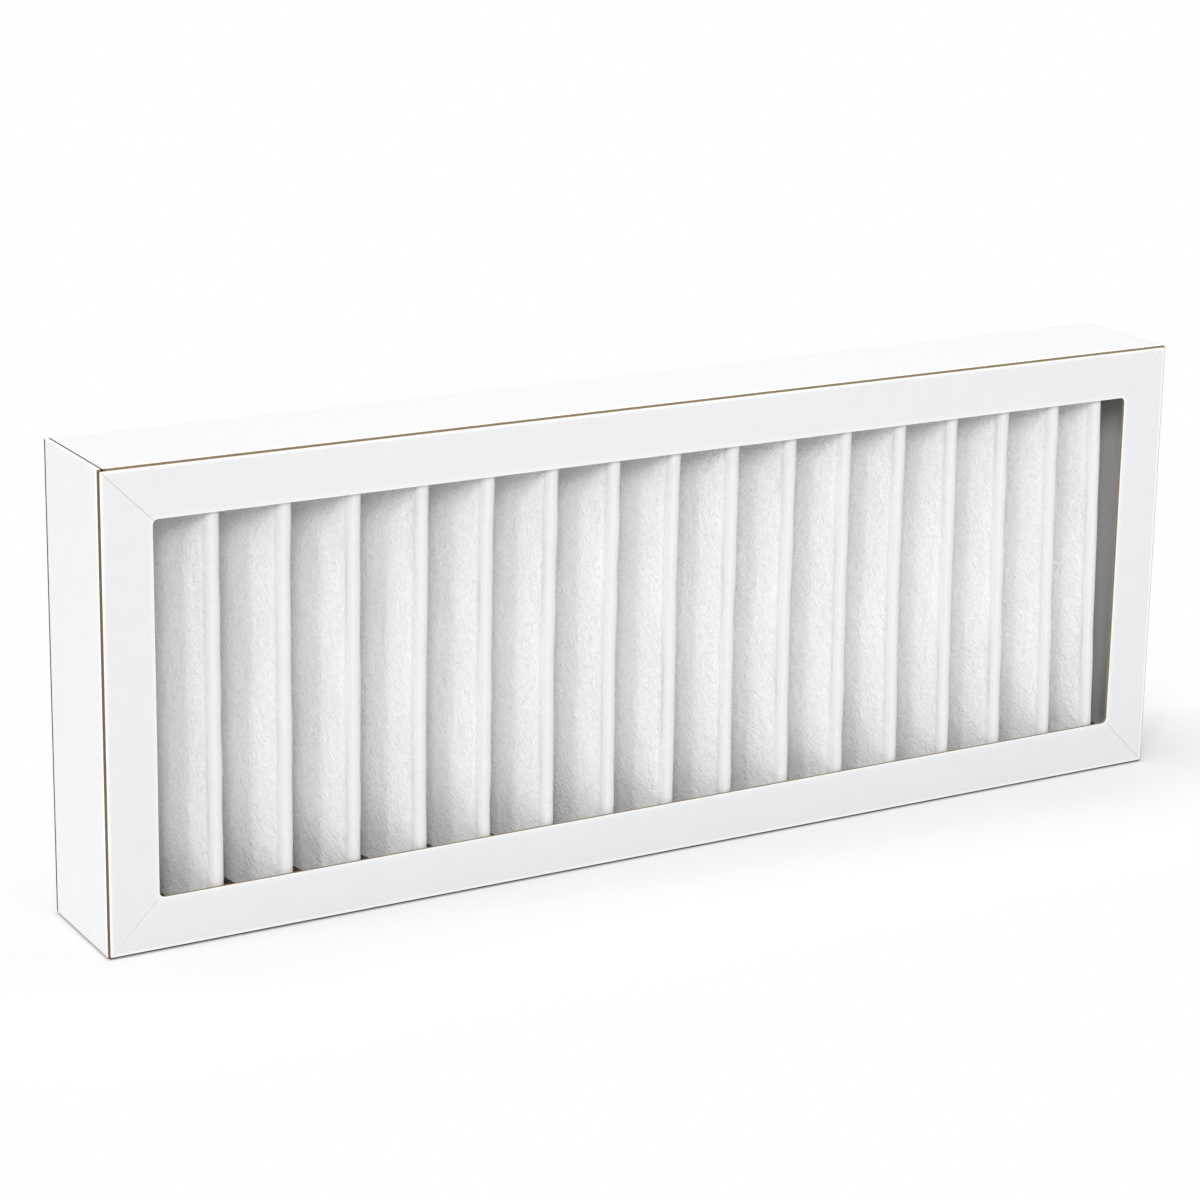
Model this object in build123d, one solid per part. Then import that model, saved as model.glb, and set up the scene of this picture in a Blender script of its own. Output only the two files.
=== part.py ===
"""Ventilation filter: a pleated polyester sheet sealed into a folded card frame.

Built from the frame's lower left front corner, in millimetres, with +Z up and the front
facing -Y. Each piece is then moved so that the origin lies under the middle of the frame.
"""

from build123d import *
from math import hypot
import os

# Card frame, outside sizes
frame_width = 440.0
frame_depth = 49.0
frame_height = 170.0

# Board and its folds
board = 1.5  # thickness of the white-lined board
flange = 19.0  # width of the flaps round each window
window_radius = 2.0
score_depth = 0.7  # each fold is cut this deep from outside, and the cut opens as it folds
mitre_gap = 0.25  # seam between two mitred flap ends

# Closing joint at the top left corner
tab_length = 14.0  # glued lap inside the left wall
tab_setback = 3.0  # from the tab's sides to the front and back faces
tab_chamfer = 4.0
glue_film = 0.15

# Pleated sheet
sheet_thickness = 2.2
pleat_pitch = 25.0
nose_flat = 0.3  # what the flattened nose of a pleat has beyond the sheet's own thickness
crease_radius = 1.3  # outside of a crease; its inside is sharp
pack_clearance = 0.5  # between the pleat noses and the flaps
left_room = 13.5  # from the left wall to the first nose
right_room = 23.5  # from the evenly spaced place of the last nose to the right wall
last_nose_push = 3.0  # the last pleat is pressed closer to its neighbour
pack_bow = 5.0  # the pleats stand wider apart on the left, so the middle one lies further right

# Sealant
sealant_depth = 5.0  # depth of the beds that the pleat ends stand in
end_cover = 2.0  # sealant between the pleat ends and the walls
edge_gap = 0.6  # between the closing tab's face and the sheet's left edge
edge_inset = 3.0  # from the walls to the sheet's cut edges
bead_radius = 7.0

inner_left = board
inner_right = frame_width - board
inner_front = board
inner_back = frame_depth - board
inner_top = frame_height - board
tab_face = 2 * board + glue_film
sheet_front = inner_front + pack_clearance + sheet_thickness / 2
sheet_back = inner_back - pack_clearance - sheet_thickness / 2


def block(x_range, y_range, z_range):
    """A box between two limits along each axis."""
    low = Vector(x_range[0], y_range[0], z_range[0])
    high = Vector(x_range[1], y_range[1], z_range[1])
    size = high - low
    return Pos((low + high) / 2) * Box(size.X, size.Y, size.Z)


def window():
    """The prism that opens both faces, with its rounded corners."""
    outline = RectangleRounded(
        frame_width - 2 * flange, frame_height - 2 * flange, window_radius
    )
    middle = Location((frame_width / 2, frame_depth, frame_height / 2), (90, 0, 0))
    return extrude(middle * outline, frame_depth)


def score_grooves():
    """Square grooves where the outside cuts opened: eight flap folds and four corner folds."""
    grooves = []
    near = (0, score_depth)
    for y_range in (near, (frame_depth - score_depth, frame_depth)):
        for z_range in (near, (frame_height - score_depth, frame_height)):
            grooves.append(block((0, frame_width), y_range, z_range))
        for x_range in (near, (frame_width - score_depth, frame_width)):
            grooves.append(block(x_range, y_range, (0, frame_height)))
    corner_folds = [
        (near, near),
        ((frame_width - score_depth, frame_width), near),
        (
            (frame_width - score_depth, frame_width),
            (frame_height - score_depth, frame_height),
        ),
        (
            (board + glue_film, board + glue_film + score_depth),
            (frame_height - score_depth, frame_height),
        ),
    ]
    for x_range, z_range in corner_folds:
        grooves.append(block(x_range, (0, frame_depth), z_range))
    return grooves


def mitre_seams():
    """Saw-thin cuts at 45 degrees between the flap ends, on both faces.

    At the closing corner a seam starts at the inside of the walls, because the left wall runs
    up to the top there. At the folded corners it starts at the outside.
    """
    seams = []
    for start_inset, x_side, z_side in (
        (board, 0, 1),
        (0, 0, 0),
        (0, 1, 0),
        (0, 1, 1),
    ):
        x_sign = 1 - 2 * x_side
        z_sign = 1 - 2 * z_side
        start = Vector(
            x_side * frame_width + x_sign * start_inset,
            z_side * frame_height + z_sign * start_inset,
        )
        end = Vector(
            x_side * frame_width + x_sign * flange,
            z_side * frame_height + z_sign * flange,
        )
        middle = (start + end) / 2
        length = (end - start).length
        tilt = -45 * x_sign * z_sign
        for y_middle in (board / 2, frame_depth - board / 2):
            place = Location((middle.X, y_middle, middle.Y), (0, tilt, 0))
            seams.append(place * Box(length, board, mitre_gap))
    return seams


def tab_outline(thickness, x_low):
    """A plate the shape of the closing tab, with its lower corners cut off."""
    y_low, y_high = tab_setback, frame_depth - tab_setback
    z_low = inner_top - tab_length
    plate = block((x_low, x_low + thickness), (y_low, y_high), (z_low, inner_top))
    lower_corners = (
        plate.edges()
        .filter_by(Axis.X)
        .filter_by(lambda edge: edge.center().Z < inner_top - tab_length / 2)
    )
    return chamfer(lower_corners, tab_chamfer)


def card_frame():
    """One blank folded round: left wall, bottom, right wall, top and the closing tab."""
    shell = block((0, frame_width), (0, frame_depth), (0, frame_height))
    shell -= block(
        (inner_left, inner_right), (inner_front, inner_back), (board, inner_top)
    )
    shell -= window()
    shell -= score_grooves()
    shell -= mitre_seams()
    shell += tab_outline(board, board + glue_film)
    closing_slit = block(
        (board, board + glue_film), (0, frame_depth), (inner_top, frame_height)
    )
    return shell - closing_slit


def tab_glue_film():
    """The film that holds the closing tab to the left wall."""
    return tab_outline(glue_film, board)


def nose_places():
    """The x of each pleat nose on the front, the first one hidden by the left flange."""
    first = inner_left + left_room
    last = inner_right - right_room
    spaces = max(2, round((last - first) / pleat_pitch))
    places = []
    for index in range(spaces + 1):
        share = index / spaces
        bow = 4 * pack_bow * share * (1 - share)
        places.append(first + (last - first) * share + bow)
    places[-1] -= last_nose_push
    return places


def sheet_middle_line():
    """The sheet's middle line seen from above, from its left cut edge to its right one."""
    half_nose = (nose_flat + sheet_thickness) / 2
    noses = nose_places()
    points = [
        (tab_face + edge_gap + sheet_thickness / 2, inner_back - edge_inset)
    ]
    for index, nose in enumerate(noses):
        points.append((nose - half_nose, sheet_front))
        points.append((nose + half_nose, sheet_front))
        if index + 1 < len(noses):
            fold = (nose + noses[index + 1]) / 2
            points.append((fold - half_nose, sheet_back))
            points.append((fold + half_nose, sheet_back))
    points.append((noses[-1] + pleat_pitch / 2 - half_nose, sheet_back))
    points.append((inner_right - edge_inset, sheet_back))
    return points


def mitred_offset(points, distance):
    """The line shifted sideways by a distance, with its corners kept sharp."""
    directions = []
    for start, end in zip(points, points[1:]):
        run, rise = end[0] - start[0], end[1] - start[1]
        length = hypot(run, rise)
        directions.append((run / length, rise / length))
    shifted = []
    for index, (x, y) in enumerate(points):
        before = directions[max(index - 1, 0)]
        after = directions[min(index, len(directions) - 1)]
        normal = (-before[1] - after[1], before[0] + after[0])
        scale = distance / (1 + before[0] * after[0] + before[1] * after[1])
        shifted.append((x + normal[0] * scale, y + normal[1] * scale))
    return shifted


def crease_radii(points, side):
    """The radius at each point of one face: rounded outside a crease, sharp inside it."""
    radii = [0.0]
    for before, here, after in zip(points, points[1:], points[2:]):
        turn = (here[0] - before[0]) * (after[1] - here[1])
        turn -= (here[1] - before[1]) * (after[0] - here[0])
        radii.append(crease_radius if turn * side < 0 else 0.0)
    radii.append(0.0)
    return radii


def pleated_sheet():
    """One sheet of nonwoven polyester with a flattened nose at each fold."""
    middle = sheet_middle_line()
    back_face = mitred_offset(middle, sheet_thickness / 2)
    front_face = mitred_offset(middle, -sheet_thickness / 2)
    outline = FilletPolyline(
        back_face + front_face[::-1],
        radius=crease_radii(middle, 1) + crease_radii(middle, -1)[::-1],
        close=True,
    )
    height = inner_top - board - 2 * end_cover
    return Pos(0, 0, board + end_cover) * extrude(make_face(outline), height)


def sealant_bed(z_low, held):
    """A bed that fills the channel from wall to wall round what stands in it."""
    bed = block(
        (inner_left, inner_right),
        (inner_front, inner_back),
        (z_low, z_low + sealant_depth),
    )
    return bed - held


def edge_bead(x_wall, held):
    """A quarter-round bead in a back corner, round the sheet's cut edge."""
    z_low = board + sealant_depth
    length = inner_top - sealant_depth - z_low
    rod = Pos(x_wall, inner_back, z_low + length / 2) * Cylinder(bead_radius, length)
    channel = block(
        (inner_left, inner_right), (inner_front, inner_back), (board, inner_top)
    )
    return (rod & channel) - held


def build():
    frame = card_frame()
    film = tab_glue_film()
    sheet = pleated_sheet()
    held = [sheet, frame, film]
    return {
        "card_frame": frame,
        "tab_glue_film": film,
        "pleated_sheet": sheet,
        "bottom_sealant_bed": sealant_bed(board, held),
        "top_sealant_bed": sealant_bed(inner_top - sealant_depth, held),
        "left_edge_bead": edge_bead(inner_left, held),
        "right_edge_bead": edge_bead(inner_right, held),
    }


os.makedirs("parts", exist_ok=True)
for name, piece in build().items():
    placed = Pos(-frame_width / 2, -frame_depth / 2, 0) * piece
    export_step(placed, f"parts/{name}.step")
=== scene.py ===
import bpy
import numpy as np
from mathutils import Matrix, Vector


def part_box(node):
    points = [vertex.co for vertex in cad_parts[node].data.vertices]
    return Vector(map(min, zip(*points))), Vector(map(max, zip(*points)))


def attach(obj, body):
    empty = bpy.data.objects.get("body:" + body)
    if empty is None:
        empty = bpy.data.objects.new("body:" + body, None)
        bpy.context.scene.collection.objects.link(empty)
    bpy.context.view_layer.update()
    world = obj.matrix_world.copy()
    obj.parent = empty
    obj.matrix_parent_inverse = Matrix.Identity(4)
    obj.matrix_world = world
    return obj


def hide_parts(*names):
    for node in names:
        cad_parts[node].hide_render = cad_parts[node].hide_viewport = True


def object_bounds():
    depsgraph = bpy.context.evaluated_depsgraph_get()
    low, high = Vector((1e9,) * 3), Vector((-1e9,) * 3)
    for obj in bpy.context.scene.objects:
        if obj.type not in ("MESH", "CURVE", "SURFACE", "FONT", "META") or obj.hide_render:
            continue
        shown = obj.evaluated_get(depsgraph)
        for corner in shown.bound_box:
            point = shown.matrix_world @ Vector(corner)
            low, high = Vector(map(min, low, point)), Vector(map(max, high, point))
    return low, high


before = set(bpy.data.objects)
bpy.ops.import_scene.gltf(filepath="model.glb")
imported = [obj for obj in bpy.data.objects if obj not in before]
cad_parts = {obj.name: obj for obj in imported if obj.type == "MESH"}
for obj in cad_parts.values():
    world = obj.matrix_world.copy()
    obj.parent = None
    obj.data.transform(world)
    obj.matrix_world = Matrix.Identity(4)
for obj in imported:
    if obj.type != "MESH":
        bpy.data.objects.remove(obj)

cad_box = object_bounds()

# ---------------------------------------------------------------------------
# Camera
# It stands about a metre in front of the filter's left end, a little above it and looking
# down, as in the photograph. Its place and lens come from the corners of the frame there.
CAMERA_PLACE = (-0.5986, -0.9997, 0.4366)
CAMERA_AZIMUTH = -30.14
CAMERA_ELEVATION = 14.84
CAMERA_ROLL = 0.95
CAMERA_SENSOR_MM = 36.0
CAMERA_LENS_MM = 99.34
CAMERA_SHIFT_Y = -0.0833
CAMERA_NEAR_M, CAMERA_FAR_M = 0.01, 50.0


def camera_turn(azimuth, elevation, roll):
    """Columns right, up and back of a camera that stands at an azimuth, 0 being the front.

    Back points from the filter to the camera. Right is level, the cross product of the
    upright and back, and up is that of back and right. The roll then turns right and up.
    """
    a, e, r = np.radians([azimuth, elevation, roll])
    back = np.array([np.sin(a) * np.cos(e), -np.cos(a) * np.cos(e), np.sin(e)])
    right = np.cross([0.0, 0.0, 1.0], back)
    right /= np.linalg.norm(right)
    up = np.cross(back, right)
    right_rolled = np.cos(r) * right + np.sin(r) * up
    up_rolled = -np.sin(r) * right + np.cos(r) * up
    return Matrix(np.column_stack([right_rolled, up_rolled, back]).tolist())


camera = bpy.data.objects.new("studio_camera", bpy.data.cameras.new("studio_camera"))
bpy.context.scene.collection.objects.link(camera)
camera.matrix_world = (
    Matrix.Translation(CAMERA_PLACE)
    @ camera_turn(CAMERA_AZIMUTH, CAMERA_ELEVATION, CAMERA_ROLL).to_4x4()
)
camera.data.sensor_width = CAMERA_SENSOR_MM
camera.data.lens = CAMERA_LENS_MM
camera.data.shift_y = CAMERA_SHIFT_Y
camera.data.clip_start = CAMERA_NEAR_M
camera.data.clip_end = CAMERA_FAR_M
bpy.context.scene.camera = camera
bpy.context.scene.view_settings.view_transform = "Standard"

# ---------------------------------------------------------------------------
# Studio floor
# A sheet of matt white paper that the filter stands on. It keeps the soft shadow round the
# filter, and a step away from it the camera sees it as pure white.
MM = 0.001
FLOOR_HALF_M = 12.0
FLOOR_WHITE = "#ebebeb"
FLOOR_FADE_START_M = 0.0  # past the filter's edge
FLOOR_FADE_END_M = 0.11


def linear(hex_colour):
    """sRGB hex to linear: c / 12.92 up to 0.04045, else ((c + 0.055) / 1.055) ** 2.4."""
    parts = [int(hex_colour[i : i + 2], 16) / 255 for i in (1, 3, 5)]
    return [
        c / 12.92 if c <= 0.04045 else ((c + 0.055) / 1.055) ** 2.4 for c in parts
    ] + [1.0]


def add(tree, kind, inputs=None, **settings):
    """Adds a shader node. An input is a value, or (node, output) for a link."""
    node = tree.nodes.new("ShaderNode" + kind)
    for key, value in settings.items():
        setattr(node, key, value)
    for key, value in (inputs or {}).items():
        if isinstance(value, tuple) and isinstance(value[0], bpy.types.Node):
            tree.links.new(value[0].outputs[value[1]], node.inputs[key])
        else:
            node.inputs[key].default_value = value
    return node


def per_metre(size_mm):
    """A texture's scale from the real size of its grain: 1 / size, with the size in metres."""
    return 1 / (size_mm * MM)


def new_material(name):
    """An empty material with its node tree."""
    material = bpy.data.materials.new(name)
    material.use_nodes = True
    material.node_tree.nodes.clear()
    return material, material.node_tree


def seen_directly(tree):
    """1 for a ray from the camera, off a mirror or through glass, and 0 for one that lights."""
    ray = add(tree, "LightPath")
    seen = add(
        tree,
        "Math",
        {0: (ray, "Is Camera Ray"), 1: (ray, "Is Glossy Ray")},
        operation="MAXIMUM",
    )
    return add(
        tree, "Math", {0: (seen, 0), 1: (ray, "Is Transmission Ray")}, operation="MAXIMUM"
    )


def put_in_mesh(name, points, faces, materials, face_material=None, smooth=True):
    """A mesh object at the origin, from arrays of points in metres and four-cornered faces."""
    mesh = bpy.data.meshes.new(name)
    mesh.vertices.add(len(points))
    mesh.vertices.foreach_set("co", np.asarray(points, dtype=np.float32).ravel())
    mesh.loops.add(faces.size)
    mesh.loops.foreach_set("vertex_index", faces.ravel().astype(np.int32))
    mesh.polygons.add(len(faces))
    mesh.polygons.foreach_set("loop_start", np.arange(len(faces), dtype=np.int32) * 4)
    mesh.update(calc_edges=True)
    for material in materials:
        mesh.materials.append(material)
    if face_material is not None:
        mesh.polygons.foreach_set("material_index", face_material.astype(np.int32))
    mesh.polygons.foreach_set("use_smooth", np.full(len(faces), smooth))
    mesh.validate()
    piece = bpy.data.objects.new(name, mesh)
    bpy.context.scene.collection.objects.link(piece)
    return piece


# Matt white paper: no shine, and a faint grain, drawn coarser than the real one so that it
# shows. Away from the filter it turns pure white for the camera and in reflections, and the
# light that it throws on the filter stays that of the paper.
paper, tree = new_material("matte_white_paper")
place = add(tree, "TexCoord")
apart = add(tree, "SeparateXYZ", {0: (place, "Object")})
squares = []
for axis in range(2):
    half = (cad_box[1][axis] - cad_box[0][axis]) / 2
    from_middle = add(tree, "Math", {0: (apart, axis)}, operation="ABSOLUTE")
    past = add(tree, "Math", {0: (from_middle, 0), 1: half}, operation="SUBTRACT")
    past = add(tree, "Math", {0: (past, 0), 1: 0.0}, operation="MAXIMUM")
    squares.append(add(tree, "Math", {0: (past, 0), 1: 2.0}, operation="POWER"))
total = add(tree, "Math", {0: (squares[0], 0), 1: (squares[1], 0)}, operation="ADD")
distance = add(tree, "Math", {0: (total, 0), 1: 0.5}, operation="POWER")
fade = add(
    tree,
    "MapRange",
    {"Value": (distance, 0), "From Min": FLOOR_FADE_START_M, "From Max": FLOOR_FADE_END_M},
    interpolation_type="SMOOTHSTEP",
)
grain = add(
    tree,
    "TexNoise",
    {"Vector": (place, "Object"), "Scale": per_metre(1.1), "Detail": 3.0},
)
bump = add(tree, "Bump", {"Height": (grain, 0), "Strength": 0.05, "Distance": 0.2 * MM})
matte = add(tree, "BsdfDiffuse", {"Color": linear(FLOOR_WHITE), "Normal": (bump, 0)})
white = add(tree, "Emission", {"Color": (1, 1, 1, 1), "Strength": 1.0})
share = add(tree, "Math", {0: (seen_directly(tree), 0), 1: (fade, 0)}, operation="MULTIPLY")
mix = add(tree, "MixShader", {0: (share, 0), 1: (matte, 0), 2: (white, 0)})
add(tree, "OutputMaterial", {"Surface": (mix, 0)})

floor_corners = np.array([[-1, -1, 0], [1, -1, 0], [1, 1, 0], [-1, 1, 0]]) * FLOOR_HALF_M
floor = put_in_mesh("studio_floor", floor_corners, np.array([[0, 1, 2, 3]]), [paper])

# ---------------------------------------------------------------------------
# Studio lights
# The main soft box stands beside the camera and shines past the filter to the right, so that
# both ends get as much light. Far soft boxes throw the pleats' soft shadows and light the
# left wall, one overhead lights the top, and the white room adds the rest.
SOFT_BOXES = [
    # name, place m, aimed at m, width m, height m, watts
    ("camera_side_soft_box", (-0.95, -1.58, 1.05), (0.60, -1.70, 0.45), 0.55, 0.55, 25.5),
    ("overhead_soft_box", (0.0, 0.1, 1.4), (0.0, 0.1, 0.0), 1.40, 1.00, 9.8),
]
FAR_SOFT_BOXES = [
    # name, azimuth (0 is the front), elevation, spread in degrees, watts per square metre
    ("front_soft_box", -22.0, 24.0, 12.0, 0.32),
    ("left_front_soft_box", -50.0, 30.0, 8.0, 0.50),
    ("left_side_soft_box", -95.0, 20.0, 12.0, 0.92),
]
ROOM_LIGHT = 0.46  # strength of the white room

for name, place, target, width, height, watts in SOFT_BOXES:
    lamp = bpy.data.lights.new(name, "AREA")
    lamp.shape, lamp.size, lamp.size_y, lamp.energy = "RECTANGLE", width, height, watts
    box = bpy.data.objects.new(name, lamp)
    box.location = place
    aim = Vector(target) - Vector(place)
    box.rotation_euler = aim.to_track_quat("-Z", "Y").to_euler()
    bpy.context.scene.collection.objects.link(box)

for name, azimuth, elevation, spread, strength in FAR_SOFT_BOXES:
    lamp = bpy.data.lights.new(name, "SUN")
    lamp.energy, lamp.angle = strength, np.radians(spread)
    box = bpy.data.objects.new(name, lamp)
    box.matrix_world = camera_turn(azimuth, elevation, 0.0).to_4x4()
    bpy.context.scene.collection.objects.link(box)

world = bpy.data.worlds.new("white_room")
world.use_nodes = True
tree = world.node_tree
tree.nodes.clear()
strength = add(
    tree, "MapRange", {"Value": (seen_directly(tree), 0), "To Min": ROOM_LIGHT, "To Max": 1.0}
)
sky = add(tree, "Background", {"Color": (1, 1, 1, 1), "Strength": (strength, 0)})
add(tree, "OutputWorld", {"Surface": (sky, 0)})
bpy.context.scene.world = world

# ---------------------------------------------------------------------------
# Card frame
# One blank of white-lined chipboard, cut from outside along every fold, folded round the
# pleats and glued at the top left. The opened cuts show the brown core between two raised
# lips of the white liner, and the flap ends meet in mitres.

# Sizes are in millimetres, and places count from the frame's lower left front corner.
BOARD = 1.5  # thickness of the board
FLANGE = 19.0  # width of the flaps round each window
FOLD_CUT = 0.7  # depth and width of an opened fold
LIP = 0.14  # radius of the liner's lip at a fold
LIP_REACH = 1.3  # the liner rounds down to its lip over this width
LIP_DROP = 0.10  # how far it has sunk there
WINDOW_LIP = 0.25  # rounding of the window's cut edge
WINDOW_RADIUS = 2.0  # in the window's corners
FLAP_CORNER = 0.4  # radius at a flap's corner where it starts at the fold
SEAM_HALF = 0.05  # half the width of a mitre seam
SEAM_DEPTH = 0.5
SEAM_EASE = 0.05  # the flap ends dip by this much beside the seam
JOINT_SLIT = 0.15  # glued slit between the left wall and the closing tab
JOINT_CUT = 0.35  # the tab's fold stays nearly shut, and its cut is narrow and deep
JOINT_FLOOR = 1.3  # depth of that cut
FLAP_WAVE = 0.22  # how far a flap bends inwards at its window edge
FLAP_WAVES = ((47, 31, 0.8), (23, -19, 2.1))  # mm per radian along x and z, and phase
SHADED_LIP_SHARE = 0.7  # of the lip's reach, where the core shows instead of the liner as a painted dark line of shade
LEFT_FOLD_SHADE = 0.45  # painted shade in the left wall's front fold, where 1 is the most
BOARD_SHARP_DEG = 32  # edges sharper than this are shaded as edges

# The mesh. Its rows divide the flat faces, and 13 stations lead round each corner.
WALL_ROWS = (14, 6)
FLAP_ROWS = (5, 9, 13, FLANGE - 2)
INNER_FLAP_ROWS = (13, 6)
INNER_WALL_ROWS = (8, 16)
SIDE_STEP = 8.0  # between the stations of a straight side
STATIONS = 13
MITRE = 6  # the middle station
NEAR_LIP, FAR_LIP = 2, 10  # the stations at the lips on both sides of an opened fold
JOINT_END = 9  # the closing joint's dark cut ends at this station
CORNER_REACH = 6.0  # from the corner to the first and the last station
STATION_GAP = 0.03  # keeps the inner stations of a wall apart
ARC_RUN = 1.5  # from a flap's arc to its first and its last station
ARC_SPREAD = np.array([1, 1, 0.6, 0.3, 0.12, 0, 0])  # share of the arc, up to the mitre
HAIR = 0.02  # between points that would otherwise meet

LINER, CORE, GREY_BACK = 0, 1, 2  # places in the list of materials
UPPER_LEFT, LOWER_LEFT = 2, 3  # places in the list of corners

LINER_WHITES = "#dadadc", "#dfdfe1"
# Painted highlight on the liner's lips and round the window's edge
LIP_HIGHLIGHT_WHITE = "#eeeeee"
CORE_BROWNS = "#6f5d46", "#a8967a"
# Painted shade in the closing joint, the left wall's folds and at the foot
PAINTED_SHADE_BROWN = "#352b22"
BACK_GREYS = "#dad9d6", "#e6e5e2"
FLECK_GREY = "#aba8a3"

frame_low, frame_high = (np.array(corner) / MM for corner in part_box("card_frame"))
FRAME_WIDTH, FRAME_DEPTH, FRAME_HEIGHT = frame_high - frame_low


def board_profile():
    """The board's section as a closed loop of depth y, inset u, surface and painted highlight.

    It runs from the middle of the outer wall round the front flap to the middle of the inner
    wall, and back by the mirror image of that. Each row's surface reaches to the next row.
    The painted highlight is 1 on a lip and falls to 0 within 2 mm of it.
    """
    c, r, e, b, f = FOLD_CUT, LIP, WINDOW_LIP, BOARD, FLANGE
    w, d = LIP_REACH, LIP_DROP
    front = np.array([
        # down the outer wall to its lip at the fold
        *[(y, 0, LINER, 0) for y in (FRAME_DEPTH / 2, *WALL_ROWS, c + r + w)],
        (c + r + 0.6 * w, 0.2 * d, LINER, 0.5),
        (c + r + 0.3 * w, 0.5 * d, LINER, 1),
        # over the lip and into the opened cut
        (c + r, d, CORE, 1),
        (c + 0.3 * r, d + 0.3 * r, CORE, 1),
        (c, d + r, CORE, 1),
        (c, 0.5 * (c + r), CORE, 0),
        (c, c, CORE, 0),
        # out of the cut and over the flap's lip
        (0.5 * (c + r), c, CORE, 0),
        (d + r, c, CORE, 1),
        (d + 0.3 * r, c + 0.3 * r, CORE, 1),
        (d, c + r, LINER, 1),
        (0.5 * d, c + r + 0.3 * w, LINER, 1),
        (0.2 * d, c + r + 0.6 * w, LINER, 0.5),
        # across the flap
        *[(0, u, LINER, 0) for u in (c + r + w, *FLAP_ROWS)],
        # round the edge of the window
        (0, f - e - 0.3, LINER, 0.3),
        (0, f - e, LINER, 0.8),
        (0.3 * e, f - 0.3 * e, LINER, 1),
        (e, f, CORE, 1),
        (b - e, f, GREY_BACK, 0),
        (b - 0.3 * e, f - 0.3 * e, GREY_BACK, 0),
        (b, f - e, GREY_BACK, 0),
        # back along the inside of the flap and of the wall
        *[(b, u, GREY_BACK, 0) for u in (*INNER_FLAP_ROWS, b + 0.3)],
        *[(y, b, GREY_BACK, 0) for y in (b + 0.3, *INNER_WALL_ROWS, FRAME_DEPTH / 2)],
    ])
    back = front[::-1][1:-1].copy()
    back[:, 2] = front[::-1][2:, 2]
    back[:, 0] = FRAME_DEPTH - back[:, 0]
    return np.vstack([front, back])


def fold_outline():
    """Places of the stations round a folded corner: distance a along the side before it and
    b along the side after it. They run down into the opened cut and out of it."""
    c, r, w, d = FOLD_CUT, LIP, LIP_REACH, LIP_DROP
    half = [
        (CORNER_REACH, 0), (c + r + w, 0), (c + r, d),
        (c, d + r), (c, 0.6 * c), (c, 0.85 * c),
    ]
    return np.array(half + [(c, c)] + [(b, a) for a, b in half[::-1]], dtype=float)


def joint_outline():
    """The same stations at the closing joint: over the fold of the tab, down into the glued
    slit, and over the cut edge of the left wall."""
    c, r, b, s, f = JOINT_CUT, LIP, BOARD, JOINT_SLIT, JOINT_FLOOR
    w, d = LIP_REACH, LIP_DROP
    return np.array([
        (CORNER_REACH, 0), (b + s + c + r + w, 0), (b + s + c + r, d), (b + s + c, d + r),
        (b + s + c, f), (b + s + HAIR, f), (b + s, f), (b, f),
        (b - HAIR, 0.05), (b - 0.1, 0), (0.25, 0), (0, 0.15), (0, CORNER_REACH),
    ])


def corner_stations(outline, depth, inset, closing):
    """Places a, b and depths y of every profile point at the stations of one corner.

    A wall point is pushed inwards from the outline to its own inset: a = max(a, u) and
    b = max(b, u). A flap point follows an arc whose radius grows from the flap's corner at
    the fold to the window's radius, and at the mitre the outer face drops into the seam.
    """
    k = np.arange(STATIONS)[:, None]
    u, y = inset[None, :], depth[None, :] + 0.0 * k
    near = np.minimum(y, FRAME_DEPTH - y)
    apart = STATION_GAP * (u > FOLD_CUT)
    wall_a = np.maximum(outline[:, :1], u) + apart * np.maximum(MITRE - k, 0)
    wall_b = np.maximum(outline[:, 1:], u) + apart * np.maximum(k - MITRE, 0)
    across = np.clip((u - FOLD_CUT) / (FLANGE - FOLD_CUT), 0, 1)
    radius = FLAP_CORNER + (WINDOW_RADIUS - FLAP_CORNER) * across ** 2
    seam = SEAM_HALF / radius / (np.pi / 4)
    spread = ARC_SPREAD[np.minimum(k, 2 * MITRE - k)]
    turn = np.where(k == MITRE, 0.0, seam + (1 - seam) * spread) * np.sign(k - MITRE)
    angle = np.pi / 4 * (1 + turn)
    flap_a = u + radius * (1 - np.sin(angle)) + ARC_RUN * (k == 0)
    flap_b = u + radius * (1 - np.cos(angle)) + ARC_RUN * (k == STATIONS - 1)
    flap = (near <= BOARD) & (u > FOLD_CUT)
    a, b = np.where(flap, flap_a, wall_a), np.where(flap, flap_b, wall_b)
    outer = flap & (near < BOARD / 2) & ((u > BOARD) | (not closing))
    drop = np.where((k == MITRE) & outer, np.maximum(SEAM_DEPTH - near, 0), 0.0)
    drop += np.where((np.abs(k - MITRE) == 1) & outer, SEAM_EASE, 0.0)
    return a, b, y + np.where(y < FRAME_DEPTH / 2, drop, -drop)


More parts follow.
